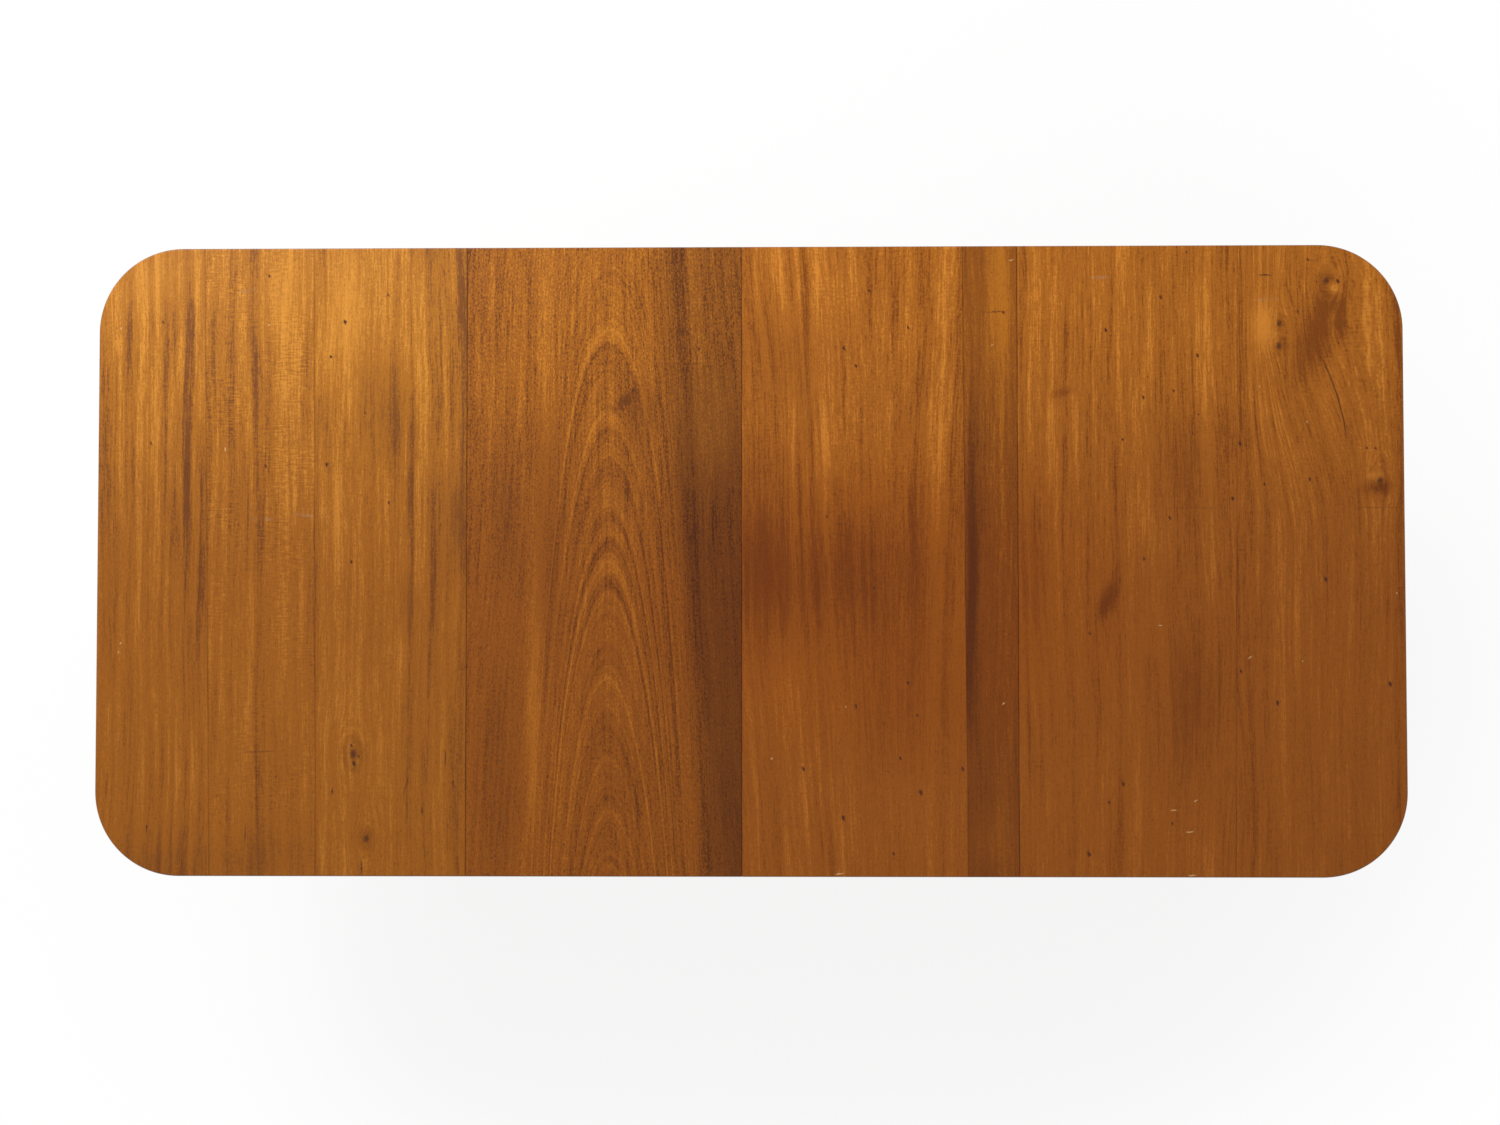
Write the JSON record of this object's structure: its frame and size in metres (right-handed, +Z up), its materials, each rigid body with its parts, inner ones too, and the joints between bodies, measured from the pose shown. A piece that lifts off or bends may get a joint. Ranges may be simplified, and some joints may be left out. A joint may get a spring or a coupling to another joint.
{
  "type": "double pedestal dining table",
  "caption": "Long dining table with rounded corners and loose leaves, on turned pedestals with splayed legs and brass casters.",
  "frame": {"origin": "on the floor under the middle of the top", "axes": "+X along the table to the right of the picture, +Y across it towards the top of the picture, +Z up"},
  "size_m": [2.32, 1.118, 0.737],
  "materials": {
    "mahogany": "waxed and polished",
    "brass": "worn, lightly tarnished",
    "iron": "blackened"
  },
  "bodies": {
    "left_half": {"left_end_top": "mahogany", "left_leaf": "mahogany", "left_block": "mahogany", "left_column": "mahogany", "left_spider": "iron", "left_bearer_front": "mahogany", "left_bearer_back": "mahogany", "catch_pivot_front": "brass", "catch_pivot_back": "brass", "left_leg_inner": "mahogany", "left_cap_inner": "brass", "left_leg_back": "mahogany", "left_cap_back": "brass", "left_leg_front": "mahogany", "left_cap_front": "brass", "left_end_keeper_front": "brass", "left_leaf_keeper_front": "brass", "left_end_keeper_back": "brass", "left_leaf_keeper_back": "brass"},
    "right_half": {"right_end_top": "mahogany", "right_leaf": "mahogany", "right_block": "mahogany", "right_column": "mahogany", "right_spider": "iron", "right_bearer_front": "mahogany", "right_bearer_back": "mahogany", "catch_stud_front": "brass", "catch_stud_back": "brass", "right_leg_inner": "mahogany", "right_cap_inner": "brass", "right_leg_back": "mahogany", "right_cap_back": "brass", "right_leg_front": "mahogany", "right_cap_front": "brass", "right_end_keeper_front": "brass", "right_leaf_keeper_front": "brass", "right_end_keeper_back": "brass", "right_leaf_keeper_back": "brass"},
    "left_horn_inner": {"left_horn_inner": "brass"},
    "left_wheel_inner": {"left_wheel_inner": "brass"},
    "left_horn_back": {"left_horn_back": "brass"},
    "left_wheel_back": {"left_wheel_back": "brass"},
    "left_horn_front": {"left_horn_front": "brass"},
    "left_wheel_front": {"left_wheel_front": "brass"},
    "right_horn_inner": {"right_horn_inner": "brass"},
    "right_wheel_inner": {"right_wheel_inner": "brass"},
    "right_horn_back": {"right_horn_back": "brass"},
    "right_wheel_back": {"right_wheel_back": "brass"},
    "right_horn_front": {"right_horn_front": "brass"},
    "right_wheel_front": {"right_wheel_front": "brass"},
    "left_loper_front": {"left_loper_front": "mahogany"},
    "left_loper_back": {"left_loper_back": "mahogany"},
    "right_loper_front": {"right_loper_front": "mahogany"},
    "right_loper_back": {"right_loper_back": "mahogany"},
    "left_fork_front": {"left_fork_front": "brass"},
    "left_fork_back": {"left_fork_back": "brass"},
    "right_fork_front": {"right_fork_front": "brass"},
    "right_fork_back": {"right_fork_back": "brass"},
    "catch_hook_front": {"catch_hook_front": "brass"},
    "catch_hook_back": {"catch_hook_back": "brass"}
  },
  "joints": [
    {"name": "open_middle", "type": "slide", "parent": "left_half", "child": "right_half", "axis": [1, 0, 0], "range_m": [0, 0.489]},
    {"name": "left_swivel_inner", "type": "hinge", "parent": "left_half", "child": "left_horn_inner", "pos_m": [-0.422, 0, 0.0375], "axis": [0, 0, 1], "continuous": true},
    {"name": "left_roll_inner", "type": "hinge", "parent": "left_horn_inner", "child": "left_wheel_inner", "pos_m": [-0.434, 0, 0.016], "axis": [0, 1, 0], "continuous": true},
    {"name": "left_swivel_back", "type": "hinge", "parent": "left_half", "child": "left_horn_back", "pos_m": [-1.034, 0.35334, 0.0375], "axis": [0, 0, 1], "continuous": true},
    {"name": "left_roll_back", "type": "hinge", "parent": "left_horn_back", "child": "left_wheel_back", "pos_m": [-1.028, 0.34295, 0.016], "axis": [-0.866, -0.5, 0], "continuous": true},
    {"name": "left_swivel_front", "type": "hinge", "parent": "left_half", "child": "left_horn_front", "pos_m": [-1.034, -0.35334, 0.0375], "axis": [0, 0, 1], "continuous": true},
    {"name": "left_roll_front", "type": "hinge", "parent": "left_horn_front", "child": "left_wheel_front", "pos_m": [-1.028, -0.34295, 0.016], "axis": [0.866, -0.5, 0], "continuous": true},
    {"name": "right_swivel_inner", "type": "hinge", "parent": "right_half", "child": "right_horn_inner", "pos_m": [0.411, 0, 0.0375], "axis": [0, 0, 1], "continuous": true},
    {"name": "right_roll_inner", "type": "hinge", "parent": "right_horn_inner", "child": "right_wheel_inner", "pos_m": [0.423, 0, 0.016], "axis": [0, -1, 0], "continuous": true},
    {"name": "right_swivel_back", "type": "hinge", "parent": "right_half", "child": "right_horn_back", "pos_m": [1.023, 0.35334, 0.0375], "axis": [0, 0, 1], "continuous": true},
    {"name": "right_roll_back", "type": "hinge", "parent": "right_horn_back", "child": "right_wheel_back", "pos_m": [1.017, 0.34295, 0.016], "axis": [-0.866, 0.5, 0], "continuous": true},
    {"name": "right_swivel_front", "type": "hinge", "parent": "right_half", "child": "right_horn_front", "pos_m": [1.023, -0.35334, 0.0375], "axis": [0, 0, 1], "continuous": true},
    {"name": "right_roll_front", "type": "hinge", "parent": "right_horn_front", "child": "right_wheel_front", "pos_m": [1.017, -0.34295, 0.016], "axis": [0.866, 0.5, 0], "continuous": true},
    {"name": "left_loper_front_slide", "type": "slide", "parent": "left_half", "child": "left_loper_front", "axis": [-1, 0, 0], "range_m": [0, 0.399]},
    {"name": "left_loper_back_slide", "type": "slide", "parent": "left_half", "child": "left_loper_back", "axis": [-1, 0, 0], "range_m": [0, 0.399]},
    {"name": "right_loper_front_slide", "type": "slide", "parent": "right_half", "child": "right_loper_front", "axis": [1, 0, 0], "range_m": [0, 0.399]},
    {"name": "right_loper_back_slide", "type": "slide", "parent": "right_half", "child": "right_loper_back", "axis": [1, 0, 0], "range_m": [0, 0.399]},
    {"name": "left_fork_front_slide", "type": "slide", "parent": "left_half", "child": "left_fork_front", "axis": [0, -1, 0], "range_m": [0, 0.045]},
    {"name": "left_fork_back_slide", "type": "slide", "parent": "left_half", "child": "left_fork_back", "axis": [0, 1, 0], "range_m": [0, 0.045]},
    {"name": "right_fork_front_slide", "type": "slide", "parent": "right_half", "child": "right_fork_front", "axis": [0, -1, 0], "range_m": [0, 0.045]},
    {"name": "right_fork_back_slide", "type": "slide", "parent": "right_half", "child": "right_fork_back", "axis": [0, 1, 0], "range_m": [0, 0.045]},
    {"name": "catch_front_swing", "type": "hinge", "parent": "left_half", "child": "catch_hook_front", "pos_m": [-0.035, -0.36, 0.709], "axis": [0, 0, -1], "range_deg": [-90, 0]},
    {"name": "catch_back_swing", "type": "hinge", "parent": "left_half", "child": "catch_hook_back", "pos_m": [-0.035, 0.36, 0.709], "axis": [0, 0, 1], "range_deg": [-90, 0]}
  ]
}
